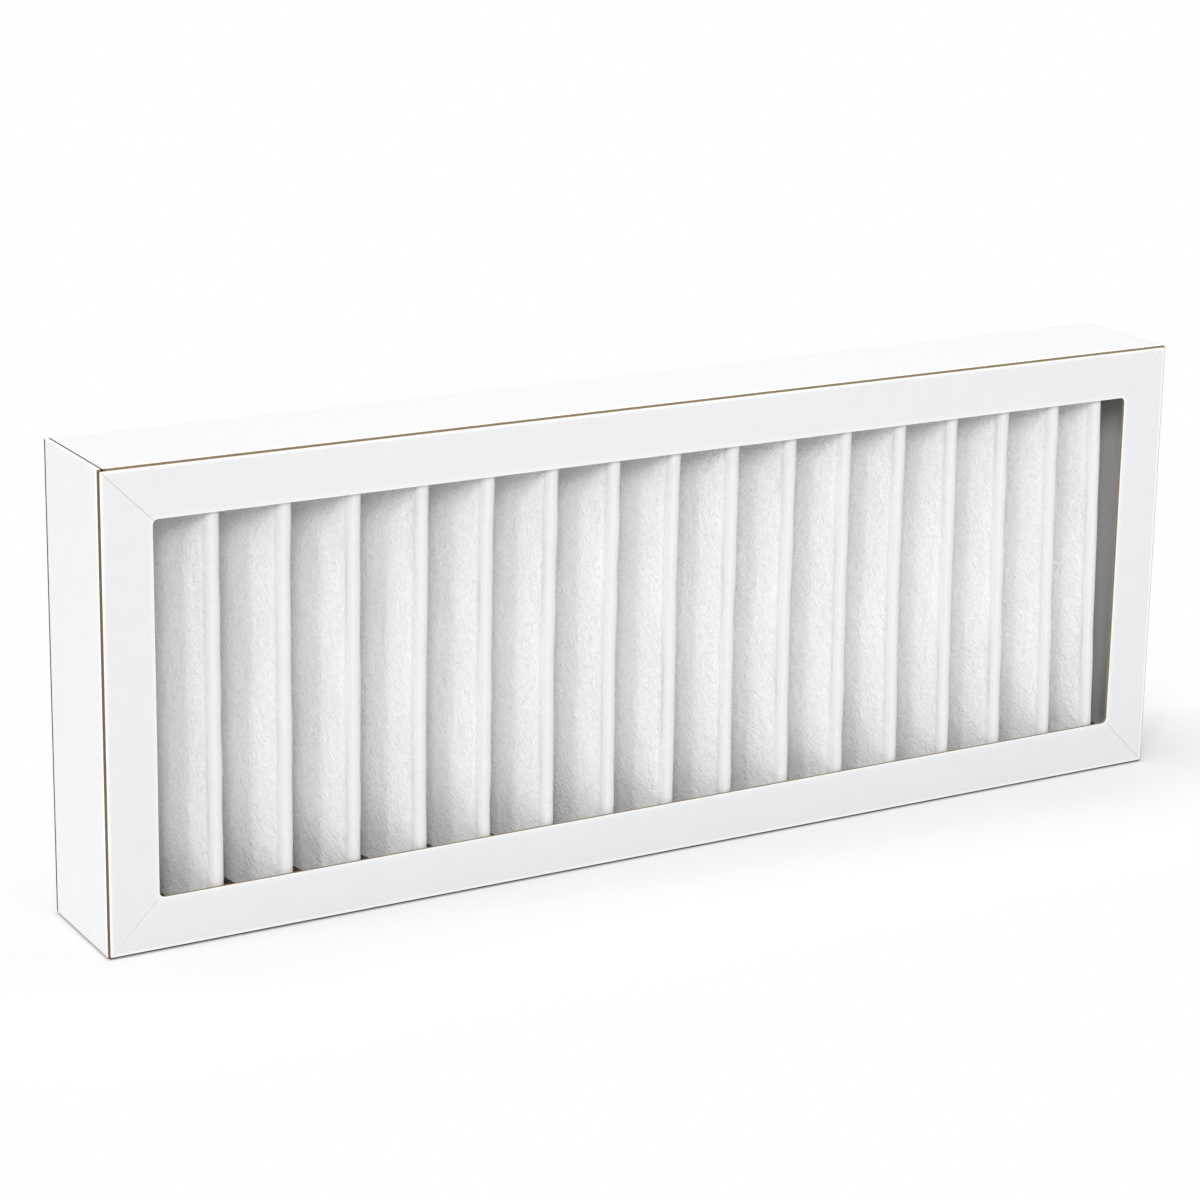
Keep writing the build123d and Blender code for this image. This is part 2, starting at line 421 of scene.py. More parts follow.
def frame_sections(depth, inset):
    """The board's section at every station of the corners and along the straight sides.

    At a corner P between two sides with inward normals n1 and n2, a station's point is
    P + n2 * a + n1 * b. Between two corners the points lie on straight lines. The marks say
    which sections lie in an opened fold, in the closing joint and on the left wall.
    """
    corners = [
        # place, and the inward normals of the sides before and after it
        ((FRAME_WIDTH, 0), (0, 1), (-1, 0)),
        ((FRAME_WIDTH, FRAME_HEIGHT), (-1, 0), (0, -1)),
        ((0, FRAME_HEIGHT), (0, -1), (1, 0)),
        ((0, 0), (1, 0), (0, 1)),
    ]
    rings = []
    for number, (corner, before, after) in enumerate(corners):
        closing = number == UPPER_LEFT
        outline = joint_outline() if closing else fold_outline()
        a, b, y = corner_stations(outline, depth, inset, closing)
        x = corner[0] + after[0] * a + before[0] * b
        z = corner[1] + after[1] * a + before[1] * b
        rings.append(np.stack([x, y, z], axis=2))
    points, cut, joint, left_wall = [], [], [], []
    for number, ring in enumerate(rings):
        following = rings[(number + 1) % len(rings)][0]
        length = np.abs(following - ring[-1]).max()
        share = np.linspace(0, 1, int(length / SIDE_STEP) + 1)[1:-1, None, None]
        points += [ring, ring[-1] * (1 - share) + following * share]
        step = np.arange(STATIONS + len(share))
        closing = number == UPPER_LEFT
        in_cut = (step >= NEAR_LIP) & (step < (JOINT_END if closing else FAR_LIP))
        cut.append(in_cut)
        joint.append(in_cut & closing)
        left_wall.append(
            step > FAR_LIP if closing else (step < NEAR_LIP) & (number == LOWER_LEFT)
        )
    return [np.concatenate(parts) for parts in (points, cut, joint, left_wall)]


def bend_flaps(points, inset):
    """Pushes each flap inwards, by its wave times the share of its width to the power 1.5.

    The wave is a half plus a quarter of each of two slow sines of x and z.
    """
    bend = FLAP_WAVE * np.clip((inset - FOLD_CUT) / (FLANGE - FOLD_CUT), 0, 1) ** 1.5
    x, y, z = points[..., 0], points[..., 1], points[..., 2]
    wave = 0.5 + 0.25 * sum(np.sin(x / p + z / q + phase) for p, q, phase in FLAP_WAVES)
    near = np.minimum(y, FRAME_DEPTH - y)
    inward = bend * wave * (near < BOARD + HAIR)
    points[..., 1] += np.where(y < FRAME_DEPTH / 2, inward, -inward)


def ring_faces(index):
    """Four-cornered faces between rows of point numbers. Each row is a closed ring."""
    beside = np.roll(index, -1, axis=1)
    faces = np.stack([index[:-1], beside[:-1], beside[1:], index[1:]], axis=2)
    return faces.reshape(-1, 4)


def folded_frame():
    """The board carried round the four sides: points, faces, surface, painted highlight and
    painted shade.

    At the back of the left wall the lip shows the core instead of the liner, as a painted dark
    line of shade. The painted shade is 1 there and down in the closing joint, and about a half
    in the left wall's front fold.
    """
    profile = board_profile()
    depth, inset = profile[:, 0], profile[:, 1]
    points, cut, joint, left_wall = frame_sections(depth, inset)
    bend_flaps(points, inset)
    rows, columns = points.shape[:2]
    index = np.arange(rows * columns).reshape(rows, columns)
    faces = ring_faces(np.vstack([index, index[:1]]))

    surface = np.broadcast_to(profile[:, 2], (rows, columns)).astype(int).copy()
    wall = (inset <= FOLD_CUT) & (np.minimum(depth, FRAME_DEPTH - depth) >= FOLD_CUT)
    surface[cut[:, None] & (wall & np.roll(wall, -1))[None, :]] = CORE
    # On the left wall's back lip the core shows instead of the liner, as a painted dark line of
    # shade.
    lip_end = FRAME_DEPTH - FOLD_CUT
    lip_start = lip_end - LIP - SHADED_LIP_SHARE * LIP_REACH
    shaded_back_lip = (inset <= LIP_DROP) & (depth < lip_end) & (depth > lip_start)
    surface[left_wall[:, None] & shaded_back_lip[None, :]] = CORE

    lip_highlight = np.broadcast_to(profile[:, 3], (rows, columns))
    front_fold = (depth <= FOLD_CUT + LIP) & (inset <= FOLD_CUT + LIP)
    # Painted shade: full on the left wall's back lip, about a half in its front fold, and full in
    # the joint.
    shade_amount = np.where(shaded_back_lip | np.roll(shaded_back_lip, 1), 1.0, LEFT_FOLD_SHADE * front_fold)
    soil = np.maximum(left_wall[:, None] * shade_amount[None, :], joint[:, None])
    return points.reshape(-1, 3), faces, surface.ravel(), lip_highlight.ravel(), soil.ravel()


def facing_out(points, faces):
    """The faces, all turned round if the volume that they enclose comes out negative.

    The volume is the sum of the signed pyramids from the origin to both triangles of every
    face, each a sixth of the triple product of its corners.
    """
    p = points[faces]
    first = np.einsum("ij,ij->i", p[:, 0], np.cross(p[:, 1], p[:, 2]))
    second = np.einsum("ij,ij->i", p[:, 0], np.cross(p[:, 2], p[:, 3]))
    return faces if (first.sum() + second.sum()) / 6 > 0 else faces[:, ::-1]


def in_place(points):
    """From millimetres at the frame's lower left front corner to metres in the CAD's frame."""
    return (points + frame_low) * MM


# Clay-coated white liner: smooth, matt, very faintly clouded by the pulp under the coating,
# with a painted highlight along its lips and the window's edge. Its fine pulp is drawn coarse
# enough to show.
liner, tree = new_material("white_lined_chipboard")
place = add(tree, "TexCoord")
cloud = add(
    tree,
    "TexNoise",
    {"Vector": (place, "Object"), "Scale": per_metre(9.0), "Detail": 4.0, "Roughness": 0.6},
)
tone = add(
    tree,
    "Mix",
    {0: (cloud, 0), 6: linear(LINER_WHITES[0]), 7: linear(LINER_WHITES[1])},
    data_type="RGBA",
)
# Painted highlight along the lips and the window's edge, read from the board's attribute
lip_highlight = add(tree, "Attribute", attribute_name="fold_polish")
bright = add(
    tree, "Mix", {0: (lip_highlight, "Fac"), 6: (tone, 2), 7: linear(LIP_HIGHLIGHT_WHITE)}, data_type="RGBA"
)
pulp = add(
    tree,
    "TexNoise",
    {"Vector": (place, "Object"), "Scale": per_metre(0.7), "Detail": 3.0},
)
sag = add(
    tree,
    "TexNoise",
    {"Vector": (place, "Object"), "Scale": per_metre(45.0), "Detail": 1.0},
)
bump = add(tree, "Bump", {"Height": (pulp, 0), "Strength": 0.06, "Distance": 0.2 * MM})
bump = add(
    tree,
    "Bump",
    {"Height": (sag, 0), "Strength": 0.10, "Distance": 2 * MM, "Normal": (bump, 0)},
)
rough = add(tree, "MapRange", {"Value": (cloud, 0), "To Min": 0.52, "To Max": 0.64})
skin = add(
    tree,
    "BsdfPrincipled",
    {"Base Color": (bright, 2), "Roughness": (rough, 0), "IOR": 1.45, "Normal": (bump, 0)},
)
add(tree, "OutputMaterial", {"Surface": (skin, 0)})

# Cut core of recycled pulp: tan and brown layers with fibres, quite rough. It is painted darker
# as shade at its foot, where the filter stands on the floor, in the closing joint and at the
# left wall's folds.
core_stuff, tree = new_material("chipboard_core")
place = add(tree, "TexCoord")
fibre = add(
    tree,
    "TexNoise",
    {"Vector": (place, "Object"), "Scale": per_metre(1.1), "Detail": 5.0, "Roughness": 0.7},
)
tone = add(
    tree,
    "Mix",
    {0: (fibre, 0), 6: linear(CORE_BROWNS[0]), 7: linear(CORE_BROWNS[1])},
    data_type="RGBA",
)
apart = add(tree, "SeparateXYZ", {0: (place, "Object")})
# Painted shade: darker towards the foot, where the frame stands on the floor, and where the
# board's attribute marks the joint and folds
foot_shade = add(
    tree,
    "MapRange",
    {
        "Value": (apart, "Z"), "From Min": 0.6 * MM, "From Max": 1.4 * MM,
        "To Min": 1.0, "To Max": 0.0,
    },
)
shade_attribute = add(tree, "Attribute", attribute_name="soil")
shade_amount = add(tree, "Math", {0: (foot_shade, 0), 1: (shade_attribute, "Fac")}, operation="MAXIMUM")
tone = add(
    tree, "Mix", {0: (shade_amount, 0), 6: (tone, 2), 7: linear(PAINTED_SHADE_BROWN)}, data_type="RGBA"
)
bump = add(tree, "Bump", {"Height": (fibre, 0), "Strength": 0.5, "Distance": 0.2 * MM})
skin = add(
    tree,
    "BsdfPrincipled",
    {"Base Color": (tone, 2), "Roughness": 0.9, "IOR": 1.4, "Normal": (bump, 0)},
)
add(tree, "OutputMaterial", {"Surface": (skin, 0)})

# Uncoated back of the board, a pale grey: mottled recycled fibres with darker flecks.
grey_stuff, tree = new_material("grey_chipboard_back")
place = add(tree, "TexCoord")
mottle = add(
    tree,
    "TexNoise",
    {"Vector": (place, "Object"), "Scale": per_metre(2.4), "Detail": 5.0, "Roughness": 0.7},
)
tone = add(
    tree,
    "Mix",
    {0: (mottle, 0), 6: linear(BACK_GREYS[0]), 7: linear(BACK_GREYS[1])},
    data_type="RGBA",
)
fleck = add(tree, "TexVoronoi", {"Vector": (place, "Object"), "Scale": per_metre(2.0)})
spot = add(
    tree,
    "MapRange",
    {
        "Value": (fleck, "Distance"), "From Min": 0.06, "From Max": 0.16,
        "To Min": 0.6, "To Max": 0.0,
    },
)
tone = add(
    tree, "Mix", {0: (spot, 0), 6: (tone, 2), 7: linear(FLECK_GREY)}, data_type="RGBA"
)
bump = add(tree, "Bump", {"Height": (mottle, 0), "Strength": 0.25, "Distance": 0.3 * MM})
skin = add(
    tree,
    "BsdfPrincipled",
    {"Base Color": (tone, 2), "Roughness": 0.85, "IOR": 1.4, "Normal": (bump, 0)},
)
add(tree, "OutputMaterial", {"Surface": (skin, 0)})

points, faces, surface, lip_highlight, soil = folded_frame()
card_frame = put_in_mesh(
    "folded_card_frame",
    in_place(points),
    facing_out(points, faces),
    [liner, core_stuff, grey_stuff],
    surface,
)
# The painted highlight and the painted shade go to the shaders as point attributes.
for name, values in (("fold_polish", lip_highlight), ("soil", soil)):
    layer = card_frame.data.attributes.new(name, "FLOAT", "POINT")
    layer.data.foreach_set("value", values.astype(np.float32))
card_frame.data.set_sharp_from_angle(angle=np.radians(BOARD_SHARP_DEG))
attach(card_frame, "root")
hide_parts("card_frame")

# ---------------------------------------------------------------------------
# Closing tab and its glue
# The blank's last flap, bent down inside the left wall and stuck to it with a film of dried
# white glue. Its lower corners are cut off so that it slides in past the sheet.
TAB_LENGTH = 14.0
TAB_SETBACK = 3.0  # from the tab's sides to the front and back faces
TAB_CHAMFER = 4.0  # its two cut corners
TAB_EASE = 0.2  # radius of the tab's worn edges
TAB_CAP = 0.02  # each face runs in to this share of the outline, where two faces close it

GLUE_YELLOWS = "#d8cfae", "#ece6d0"


def tab_plate():
    """Rings of the tab's outline, from its glued face to its inner one.

    The outline is a rectangle with two cut corners. Over the thickness its edges are eased
    by a quarter circle: the outline pulled inwards by e * (1 - sin t) stands e * (1 - cos t)
    from the face.
    """
    y0, y1 = TAB_SETBACK, FRAME_DEPTH - TAB_SETBACK
    z1 = FRAME_HEIGHT - BOARD
    z0 = z1 - TAB_LENGTH
    c = TAB_CHAMFER
    outline = np.array([
        (y0, z1), (y0, z0 + c), (y0 + c, z0), (y1 - c, z0), (y1, z0 + c), (y1, z1),
    ])
    middle = np.array([(y0 + y1) / 2, (z0 + z1) / 2])
    half = np.array([(y1 - y0) / 2, (z1 - z0) / 2])
    angle = np.radians([0, 45, 90])
    pull = TAB_EASE * (1 - np.sin(angle))
    rise = TAB_EASE * (1 - np.cos(angle))
    x_low = BOARD + JOINT_SLIT
    x = np.concatenate([x_low + rise, x_low + BOARD - rise[::-1]])
    x = np.pad(x, 1, mode="edge")[:, None, None]
    share = 1 - np.concatenate([pull, pull[::-1]])[:, None] / half
    share = np.pad(share, ((1, 1), (0, 0)), constant_values=TAB_CAP)
    rings = middle + (outline - middle) * share[:, None, :]
    return np.concatenate([np.broadcast_to(x, (*rings.shape[:2], 1)), rings], axis=2)


def dress_node(name, material):
    """Gives a CAD node's own mesh its material."""
    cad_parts[name].data.materials.clear()
    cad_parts[name].data.materials.append(material)


rings = tab_plate()
index = np.arange(rings[..., 0].size).reshape(rings.shape[:2])
caps = np.array([[0, 1, 2, 3], [0, 3, 4, 5]])
faces = np.vstack([ring_faces(index), caps[:, ::-1], caps + index[-1, 0]])
points = rings.reshape(-1, 3)
tab = put_in_mesh(
    "closing_tab", in_place(points), facing_out(points, faces), [grey_stuff], smooth=False
)
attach(tab, "root")

# Dried dispersion glue: milky, slightly yellow and a little glossy, streaked by the brush.
glue, tree = new_material("dried_white_glue")
place = add(tree, "TexCoord")
streak = add(
    tree,
    "TexNoise",
    {"Vector": (place, "Object"), "Scale": per_metre(4.0), "Detail": 3.0},
)
tone = add(
    tree,
    "Mix",
    {0: (streak, 0), 6: linear(GLUE_YELLOWS[0]), 7: linear(GLUE_YELLOWS[1])},
    data_type="RGBA",
)
bump = add(tree, "Bump", {"Height": (streak, 0), "Strength": 0.4, "Distance": 0.3 * MM})
skin = add(
    tree,
    "BsdfPrincipled",
    {"Base Color": (tone, 2), "Roughness": 0.4, "IOR": 1.47, "Normal": (bump, 0)},
)
add(tree, "OutputMaterial", {"Surface": (skin, 0)})
dress_node("tab_glue_film", glue)

# ---------------------------------------------------------------------------
# Pleated sheet
# One length of thermally bonded polyester fleece, folded to and fro into seventeen pleats.
# Each nose is pressed flat, with two faint creases on its left drawn as painted shade lines,
# and the last pleats lean to the left at the top. Its ends stand in the sealant.
SHEET_THICKNESS = 2.2
NOSE_FLAT = 0.3  # what a flattened nose has beyond the sheet's thickness
PLEAT_PITCH = 25.0
LEFT_ROOM = 13.5  # from the left wall to the first nose
RIGHT_ROOM = 23.5  # from the evenly spaced place of the last nose to the right wall
PACK_BOW = 5.0  # the pleats stand wider apart on the left
LAST_NOSE_PUSH = 3.0  # the last pleat is pressed closer to its neighbour
PACK_CLEARANCE = 0.5  # between the straight pleats and the flaps
NOSE_MARGIN = 0.25  # the waves leave at least this much to the flaps
EDGE_INSET = 3.0  # from the back flap to the sheet's cut edge on the left
CREASE_SOFTNESS = 0.65  # width of the bell curve that softens the folds
TIGHT_BEND = 0.82  # the inside of a bend lies at most this share of its radius away

# Slow waves of the sheet, in mm. They are as many times longer upwards as tall says.
FLANK_WAVES = dict(swell=0.34, seed=5, count=9, shortest=34, longest=90, tall=1.3)
SMALL_WAVES = dict(swell=0.10, seed=9, count=8, shortest=12, longest=26, tall=1.6)
SIDE_WAVES = dict(swell=0.13, seed=3, count=7, shortest=60, longest=170, tall=1.0)
SIDE_WAVE_PACE = 2.1  # the sideways waves run this many times faster along x
THICKNESS_WAVES = dict(swell=0.05, seed=21, count=10, shortest=5, longest=14, tall=1.0)
FLANK_BEND = 0.15  # curvature, in 1/mm, at which the flank waves have faded out
SMOOTH_BEND = 0.3  # the same for the thickness waves
HELD_HEIGHT, FREED_HEIGHT = 4, 22  # held fast by the sealant, and coming free over this
HELD_ENDS, FREED_LENGTH = (8, 12), 10  # the same along the sheet, at its left and right end
LEAN_START, LEAN_RUN = 20, 392  # the lean begins here, and grows over this length
LEAN_POWER = 2.4  # it is felt mostly in the last pleats
LEAN_SHIFT, LEAN_TILT = 0.65, 1.95  # to the left at the right end, and per half window
MIDDLE_TILT = 0.9  # the upper half of the middle pleats leans to the right by this

# The mesh
LINE_STEP = 0.2  # between the points of the softened line
FLANK_STEP = 3.0  # between two stations on a flank
CREASE_BEND = 0.02  # curvature, in 1/mm, from which a place counts as a crease
BEND_WEIGHT, CREASE_WEIGHT = 0.9, 0.8  # more stations per mm, by curvature and in a crease
SHEET_COLUMNS = 760
HEIGHT_STEPS = 60
FLEECE_SHARP_DEG = 60

FLEECE_WHITES = "#f8f8f8", "#fefefe"
PRESSED_GREY = "#dedede"
# Painted shade in the creases beside each nose
CREASE_SHADE_GREY = "#8c8c8c"
THIN_GREY = "#d8d8d8"
CREASE_SHADES = ((-2.9, 0.22), (-1.3, 0.14))  # mm from the middle of the nose, and darkness of the painted crease shade
STRANDS = ((38, 5.0), (-34, 5.0), (80, 3.5))  # turn in degrees, and length over width

sheet_low, sheet_high = (np.array(corner) / MM - frame_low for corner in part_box("pleated_sheet"))


def nose_places():
    """x = first + (last - first) * t + 4 * bow * t * (1 - t), and the last one pushed left."""
    first = BOARD + LEFT_ROOM
    last = FRAME_WIDTH - BOARD - RIGHT_ROOM
    spaces = round((last - first) / PLEAT_PITCH)
    t = np.arange(spaces + 1) / spaces
    places = first + (last - first) * t + 4 * PACK_BOW * t * (1 - t)
    places[-1] -= LAST_NOSE_PUSH
    return places


def sheet_line():
    """The sheet's middle line seen from above, its corners softened by a bell curve.

    It zigzags from each nose to the fold half way to the next one. The bell's width is the
    crease softness, and the line is its average over that width at every point. The places
    of the noses along the line are returned too.
    """
    front = BOARD + PACK_CLEARANCE + SHEET_THICKNESS / 2
    back = FRAME_DEPTH - front
    half_nose = (NOSE_FLAT + SHEET_THICKNESS) / 2
    noses = nose_places()
    turns = np.empty(2 * len(noses) - 1)
    turns[0::2], turns[1::2] = noses, (noses[1:] + noses[:-1]) / 2
    x = (turns[:, None] + [-half_nose, half_nose]).ravel()
    y = np.repeat(np.where(np.arange(len(turns)) % 2 == 0, front, back), 2)
    cut_edge = sheet_low[0] + SHEET_THICKNESS / 2, FRAME_DEPTH - BOARD - EDGE_INSET
    last_fold = noses[-1] + PLEAT_PITCH / 2 - half_nose
    x = np.concatenate([[cut_edge[0]], x, [last_fold, sheet_high[0]]])
    y = np.concatenate([[cut_edge[1]], y, [back, back]])
    length = np.concatenate([[0], np.cumsum(np.hypot(np.diff(x), np.diff(y)))])
    nose_s = (length[1:-2:4] + length[2:-1:4]) / 2
    even = np.arange(0, length[-1], LINE_STEP)
    x, y = np.interp(even, length, x), np.interp(even, length, y)
    reach = int(4 * CREASE_SOFTNESS / LINE_STEP)
    bell = np.exp(-0.5 * (np.arange(-reach, reach + 1) * LINE_STEP / CREASE_SOFTNESS) ** 2)
    bell /= bell.sum()
    soft = [np.convolve(np.pad(v, reach, mode="edge"), bell, mode="valid") for v in (x, y)]
    return even, soft[0], soft[1], nose_s


def waves(s, z, swell, seed, count, shortest, longest, tall):
    """Sine waves over the flat sheet, with random lengths, directions and phases.

    Their sum is divided by the root of their count and multiplied by the swell.
    """
    rng = np.random.default_rng(seed)
    total = 0.0
    for _ in range(count):
        across = rng.uniform(-1, 1) * 2 * np.pi / rng.uniform(shortest, longest)
        upwards = 2 * np.pi / (rng.uniform(shortest, longest) * tall)
        total = total + np.sin(across * s + upwards * z + rng.uniform(0, 2 * np.pi))
    return swell * (total / np.sqrt(count))


def slab_faces(rows, columns):
    """Four-cornered faces of a closed slab. Each row is a ring of points that runs along one
    side of the slab and back along the other; the first and last rings are filled in."""
    index = np.arange(rows * columns).reshape(rows, columns)
    ends = []
    for row, turn in ((0, 1), (rows - 1, -1)):
        near, far = index[row, : columns // 2], index[row, columns // 2 :][::-1]
        strip = np.stack([near[:-1], far[:-1], far[1:], near[1:]], axis=1)
        ends.append(strip[:, ::turn])
    return np.vstack([ring_faces(index)] + ends)


def sheet_stations():
    """Stations along the line, packed where it bends: s, x, y, direction and curvature.

    The number of stations per mm is 1 / flank step on a flank, and grows with the curvature.
    The places of the noses are passed on.
    """
    s, x, y, nose_s = sheet_line()
    dx, dy = np.gradient(x, s), np.gradient(y, s)
    speed = np.hypot(dx, dy)
    dx, dy = dx / speed, dy / speed
    curve = dx * np.gradient(dy, s) - dy * np.gradient(dx, s)
    bend = np.abs(curve)
    density = 1 / FLANK_STEP + BEND_WEIGHT * bend + CREASE_WEIGHT * (bend > CREASE_BEND)
    weight = np.cumsum(density)
    stations = np.interp(np.linspace(weight[0], weight[-1], SHEET_COLUMNS), weight, s)
    x, y, dx, dy, curve = (np.interp(stations, s, v) for v in (x, y, dx, dy, curve))
    size = np.hypot(dx, dy)
    return stations, x, y, dx / size, dy / size, curve, nose_s


def lean(x, z):
    """How far a point of the sheet stands to the right of the straight pack.

    The height h is -1 at the window's foot and 1 at its top, and the share grows along x
    with the lean's power. The right end is moved by share * (-shift - tilt * h), and the
    upper half of the middle by middle tilt * h * sin(pi * place).
    """
    place = np.clip((x[:, None] - LEAN_START) / LEAN_RUN, 0, 1)
    height = (z - FRAME_HEIGHT / 2) / (FRAME_HEIGHT / 2 - FLANGE)
    right_end = place**LEAN_POWER * (-LEAN_SHIFT - LEAN_TILT * height)
    return right_end + MIDDLE_TILT * np.clip(height, 0, 1) * np.sin(np.pi * place)


def pleated_sheet():
    """The closed slab of the sheet: points, faces, flat places s and z, and the noses' s.

    The middle surface is the line swept upwards, pushed along its normal by slow waves,
    which fade out where the sealant holds it, and leaned. Each face lies half a thickness
    from it, less inside a bend so that it doesn't cross itself.
    """
    stations, x, y, dx, dy, curve, nose_s = sheet_stations()
    z_low, z_high = sheet_low[2], sheet_high[2]
    z = np.linspace(z_low, z_high, HEIGHT_STEPS + 1)
    S, Z = np.meshgrid(stations, z, indexing="ij")
    above_beds = np.minimum(Z - z_low - HELD_HEIGHT, z_high - HELD_HEIGHT - Z)
    free = np.clip(above_beds / FREED_HEIGHT, 0, 1)
    free = free * free * (3 - 2 * free)
    past_beads = np.minimum(S - HELD_ENDS[0], S[-1, 0] - HELD_ENDS[1] - S)
    end = np.clip(past_beads / FREED_LENGTH, 0, 1)
    flank = np.clip(1 - np.abs(curve) / FLANK_BEND, 0, 1)[:, None]
    push = waves(S, Z, **FLANK_WAVES) * flank + waves(S, Z, **SMALL_WAVES)
    push = push * free * end
    slide = waves(x[:, None] * SIDE_WAVE_PACE, Z, **SIDE_WAVES) * free * end
    X = x[:, None] - dy[:, None] * push + (slide + lean(x, Z)) * end
    Y = y[:, None] + dx[:, None] * push

    half = SHEET_THICKNESS / 2
    tight = TIGHT_BEND / np.maximum(np.abs(curve), 1e-6)
    rough = waves(S, Z, **THICKNESS_WAVES)
    rough = rough * np.clip(1 - np.abs(curve) / SMOOTH_BEND, 0, 1)[:, None]
    sides = []
    for side in (1, -1):
        inside = curve * side > 0
        reach = np.where(inside, np.minimum(half, tight), half)[:, None]
        out = (reach + rough) * side
        sides.append(np.stack([X - dy[:, None] * out, Y + dx[:, None] * out, Z], axis=2))
    points = np.concatenate([sides[0], sides[1][:, ::-1]], axis=1)
    limit = BOARD + NOSE_MARGIN
    points[..., 1] = np.clip(points[..., 1], limit, FRAME_DEPTH - limit)
    flat_s = np.broadcast_to(stations[:, None], points.shape[:2])
    flat_z = np.concatenate([Z, Z[:, ::-1]], axis=1)
    faces = slab_faces(*points.shape[:2])
    return points.reshape(-1, 3), faces, flat_s.ravel(), flat_z.ravel(), nose_s


# Needled and thermally bonded polyester: bright white, quite matt, its fibres lying mostly
# along two slanting directions, with small clouds where the web is thicker. The real fibres
# are far too fine to show, so they are drawn as strands 0.7 mm wide and a few times as long.
fleece, tree = new_material("bonded_polyester_fleece")
flat = add(tree, "UVMap", uv_map="flat_sheet")
cloud = add(
    tree,
    "TexNoise",
    {"Vector": (flat, 0), "Scale": per_metre(7.0), "Detail": 4.0, "Roughness": 0.65},
)
tone = add(
    tree,
    "Mix",
    {0: (cloud, 0), 6: linear(FLEECE_WHITES[0]), 7: linear(FLEECE_WHITES[1])},
    data_type="RGBA",
)

# The pressed nose is a little greyer and flatter, with two broken crease lines on its left
# painted as shade.
from_nose = add(tree, "UVMap", uv_map="from_nose")
along = add(tree, "SeparateXYZ", {0: (from_nose, 0)})
away = add(tree, "Math", {0: (along, 0)}, operation="ABSOLUTE")
pressed = add(
    tree,
    "MapRange",
    {
        "Value": (away, 0), "From Min": 1.5 * MM, "From Max": 5 * MM,
        "To Min": 1.0, "To Max": 0.0,
    },
    interpolation_type="SMOOTHSTEP",
)
tone = add(
    tree, "Mix", {0: (pressed, 0), 6: (tone, 2), 7: linear(PRESSED_GREY)}, data_type="RGBA"
)
dash = add(tree, "TexNoise", {"Vector": (flat, 0), "Scale": per_metre(2.4), "Detail": 2.0})
# Painted shade along each crease, broken by the dash noise
for crease_mm, darkness in CREASE_SHADES:
    off = add(tree, "Math", {0: (along, 0), 1: crease_mm * MM}, operation="SUBTRACT")
    off = add(tree, "Math", {0: (off, 0)}, operation="ABSOLUTE")
    line = add(
        tree,
        "MapRange",
        {
            "Value": (off, 0), "From Min": 0.1 * MM, "From Max": 0.45 * MM,
            "To Min": darkness, "To Max": 0.0,
        },
        interpolation_type="SMOOTHSTEP",
    )
    line = add(tree, "Math", {0: (line, 0), 1: (dash, 0)}, operation="MULTIPLY")
    tone = add(
        tree, "Mix", {0: (line, 0), 6: (tone, 2), 7: linear(CREASE_SHADE_GREY)}, data_type="RGBA"
    )

# Strands in three directions, which shade the web where it is thin and raise its surface.
strands = []
for turn, stretch in STRANDS:
    slant = add(
        tree,
        "Mapping",
        {
            "Vector": (flat, 0), "Rotation": (0, 0, np.radians(turn)),
            "Scale": (1.0, stretch, 1.0),
        },
        vector_type="TEXTURE",
    )
    strands.append(
        add(
            tree,
            "TexNoise",
            {"Vector": (slant, 0), "Scale": per_metre(0.67), "Detail": 2.0, "Roughness": 0.6},
        )
    )
both = add(tree, "Math", {0: (strands[0], 0), 1: (strands[1], 0)}, operation="ADD")
fibres = add(tree, "Math", {0: (both, 0), 1: (strands[2], 0)}, operation="ADD")
thin = add(
    tree,
    "MapRange",
    {"Value": (fibres, 0), "From Min": 1.25, "From Max": 1.65, "To Min": 0.34, "To Max": 0.0},
)
tone = add(
    tree, "Mix", {0: (thin, 0), 6: (tone, 2), 7: linear(THIN_GREY)}, data_type="RGBA"
)
tuft = add(
    tree,
    "TexNoise",
    {"Vector": (flat, 0), "Scale": per_metre(3.8), "Detail": 3.0, "Roughness": 0.6},
)
loose = add(tree, "MapRange", {"Value": (pressed, 0), "To Min": 0.6, "To Max": 0.25})
bump = add(tree, "Bump", {"Height": (tuft, 0), "Strength": (loose, 0), "Distance": 1 * MM})
bump = add(
    tree,
    "Bump",
    {
        "Height": (fibres, 0), "Strength": (loose, 0), "Distance": 0.8 * MM,
        "Normal": (bump, 0),
    },
)
skin = add(
    tree,
    "BsdfPrincipled",
    {
        "Base Color": (tone, 2), "Roughness": 0.95, "IOR": 1.4, "Specular IOR Level": 0.25,
        "Normal": (bump, 0),
    },
)
add(tree, "OutputMaterial", {"Surface": (skin, 0)})

points, faces, flat_s, flat_z, nose_s = pleated_sheet()
sheet = put_in_mesh("pleated_fleece", in_place(points), facing_out(points, faces), [fleece])
corner_vertex = np.empty(len(sheet.data.loops), dtype=np.int32)
sheet.data.loops.foreach_get("vertex_index", corner_vertex)
corner_s, corner_z = flat_s[corner_vertex], flat_z[corner_vertex]
face_s = corner_s.reshape(-1, 4).mean(axis=1)
nearest = nose_s[np.abs(face_s[:, None] - nose_s).argmin(axis=1)]
past_nose = corner_s - np.repeat(nearest, 4)
for name, across in (("flat_sheet", corner_s), ("from_nose", past_nose)):
    layer = sheet.data.uv_layers.new(name=name)
    places = np.column_stack([across, corner_z]) * MM
    layer.data.foreach_set("uv", places.astype(np.float32).ravel())
sheet.data.set_sharp_from_angle(angle=np.radians(FLEECE_SHARP_DEG))
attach(sheet, "root")
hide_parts("pleated_sheet")

# ---------------------------------------------------------------------------
# Sealant
# Dark brown casting compound, poured into the lower and upper channels, where the pleat ends
# stand in it, and laid as a bead along the sheet's two cut edges.
SEALANT_BROWNS = "#2e2723", "#4a3f37"

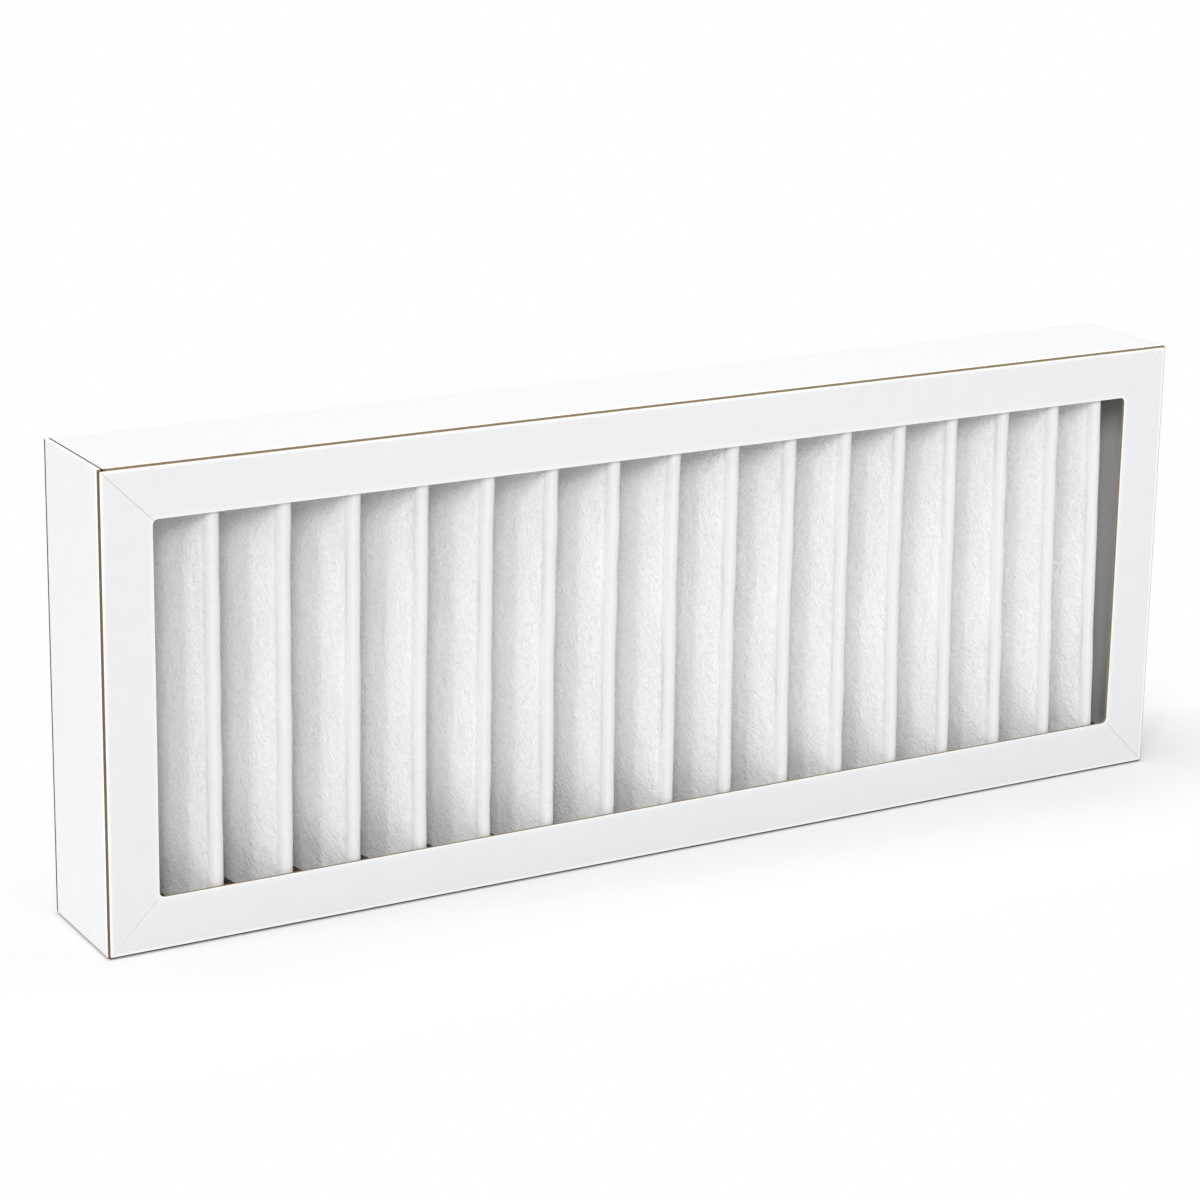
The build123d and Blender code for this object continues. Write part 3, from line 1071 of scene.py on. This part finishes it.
# Foamed polyurethane: nearly black brown, half glossy, pitted by small bubbles and lumpy.
sealant, tree = new_material("foamed_polyurethane_sealant")
place = add(tree, "TexCoord")
foam = add(tree, "TexVoronoi", {"Vector": (place, "Object"), "Scale": per_metre(1.4)})
cloud = add(
    tree,
    "TexNoise",
    {"Vector": (place, "Object"), "Scale": per_metre(6.0), "Detail": 4.0},
)
tone = add(
    tree,
    "Mix",
    {0: (cloud, 0), 6: linear(SEALANT_BROWNS[0]), 7: linear(SEALANT_BROWNS[1])},
    data_type="RGBA",
)
bump = add(
    tree, "Bump", {"Height": (foam, "Distance"), "Strength": 0.5, "Distance": 0.5 * MM}
)
bump = add(
    tree,
    "Bump",
    {"Height": (cloud, 0), "Strength": 0.5, "Distance": 2 * MM, "Normal": (bump, 0)},
)
skin = add(
    tree,
    "BsdfPrincipled",
    {"Base Color": (tone, 2), "Roughness": 0.5, "IOR": 1.5, "Normal": (bump, 0)},
)
add(tree, "OutputMaterial", {"Surface": (skin, 0)})
for name in ("bottom_sealant_bed", "top_sealant_bed", "left_edge_bead", "right_edge_bead"):
    dress_node(name, sealant)

# ---------------------------------------------------------------------------
# Foam skins
# The compound foams up between the pleats as it sets. Its skin stands about a millimetre over
# each bed, a little uneven, and shows as dark wedges behind the window's lower edge.
SKIN_ROOT = 6.0  # height at which a skin starts, inside the bed
SKIN_TOP = 7.7  # mean height of its upper side
SKIN_WAVES = dict(swell=0.22, seed=31, count=9, shortest=9, longest=40, tall=1.0)
SKIN_GAP = 0.1  # between the skin and the frame's walls
SKIN_STEPS = (280, 30)
SKIN_SHARP_DEG = 40


def foam_skin():
    """Points and faces of the lower skin, a slab: its upper side is the top plus the waves."""
    low = BOARD + SKIN_GAP
    x = np.linspace(low, FRAME_WIDTH - low, SKIN_STEPS[0])
    y = np.linspace(low, FRAME_DEPTH - low, SKIN_STEPS[1])
    X, Y = np.meshgrid(x, y, indexing="ij")
    upper = np.stack([X, Y, SKIN_TOP + waves(X, Y, **SKIN_WAVES)], axis=2)
    lower = np.stack([X, Y, np.full_like(X, SKIN_ROOT)], axis=2)
    points = np.concatenate([upper, lower[:, ::-1]], axis=1)
    return points.reshape(-1, 3), slab_faces(*points.shape[:2])


points, faces = foam_skin()
mirrored = points * [1, 1, -1] + [0, 0, FRAME_HEIGHT]
for name, skin_points in (("lower_foam_skin", points), ("upper_foam_skin", mirrored)):
    skin_piece = put_in_mesh(
        name, in_place(skin_points), facing_out(skin_points, faces), [sealant]
    )
    skin_piece.data.set_sharp_from_angle(angle=np.radians(SKIN_SHARP_DEG))
    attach(skin_piece, "root")
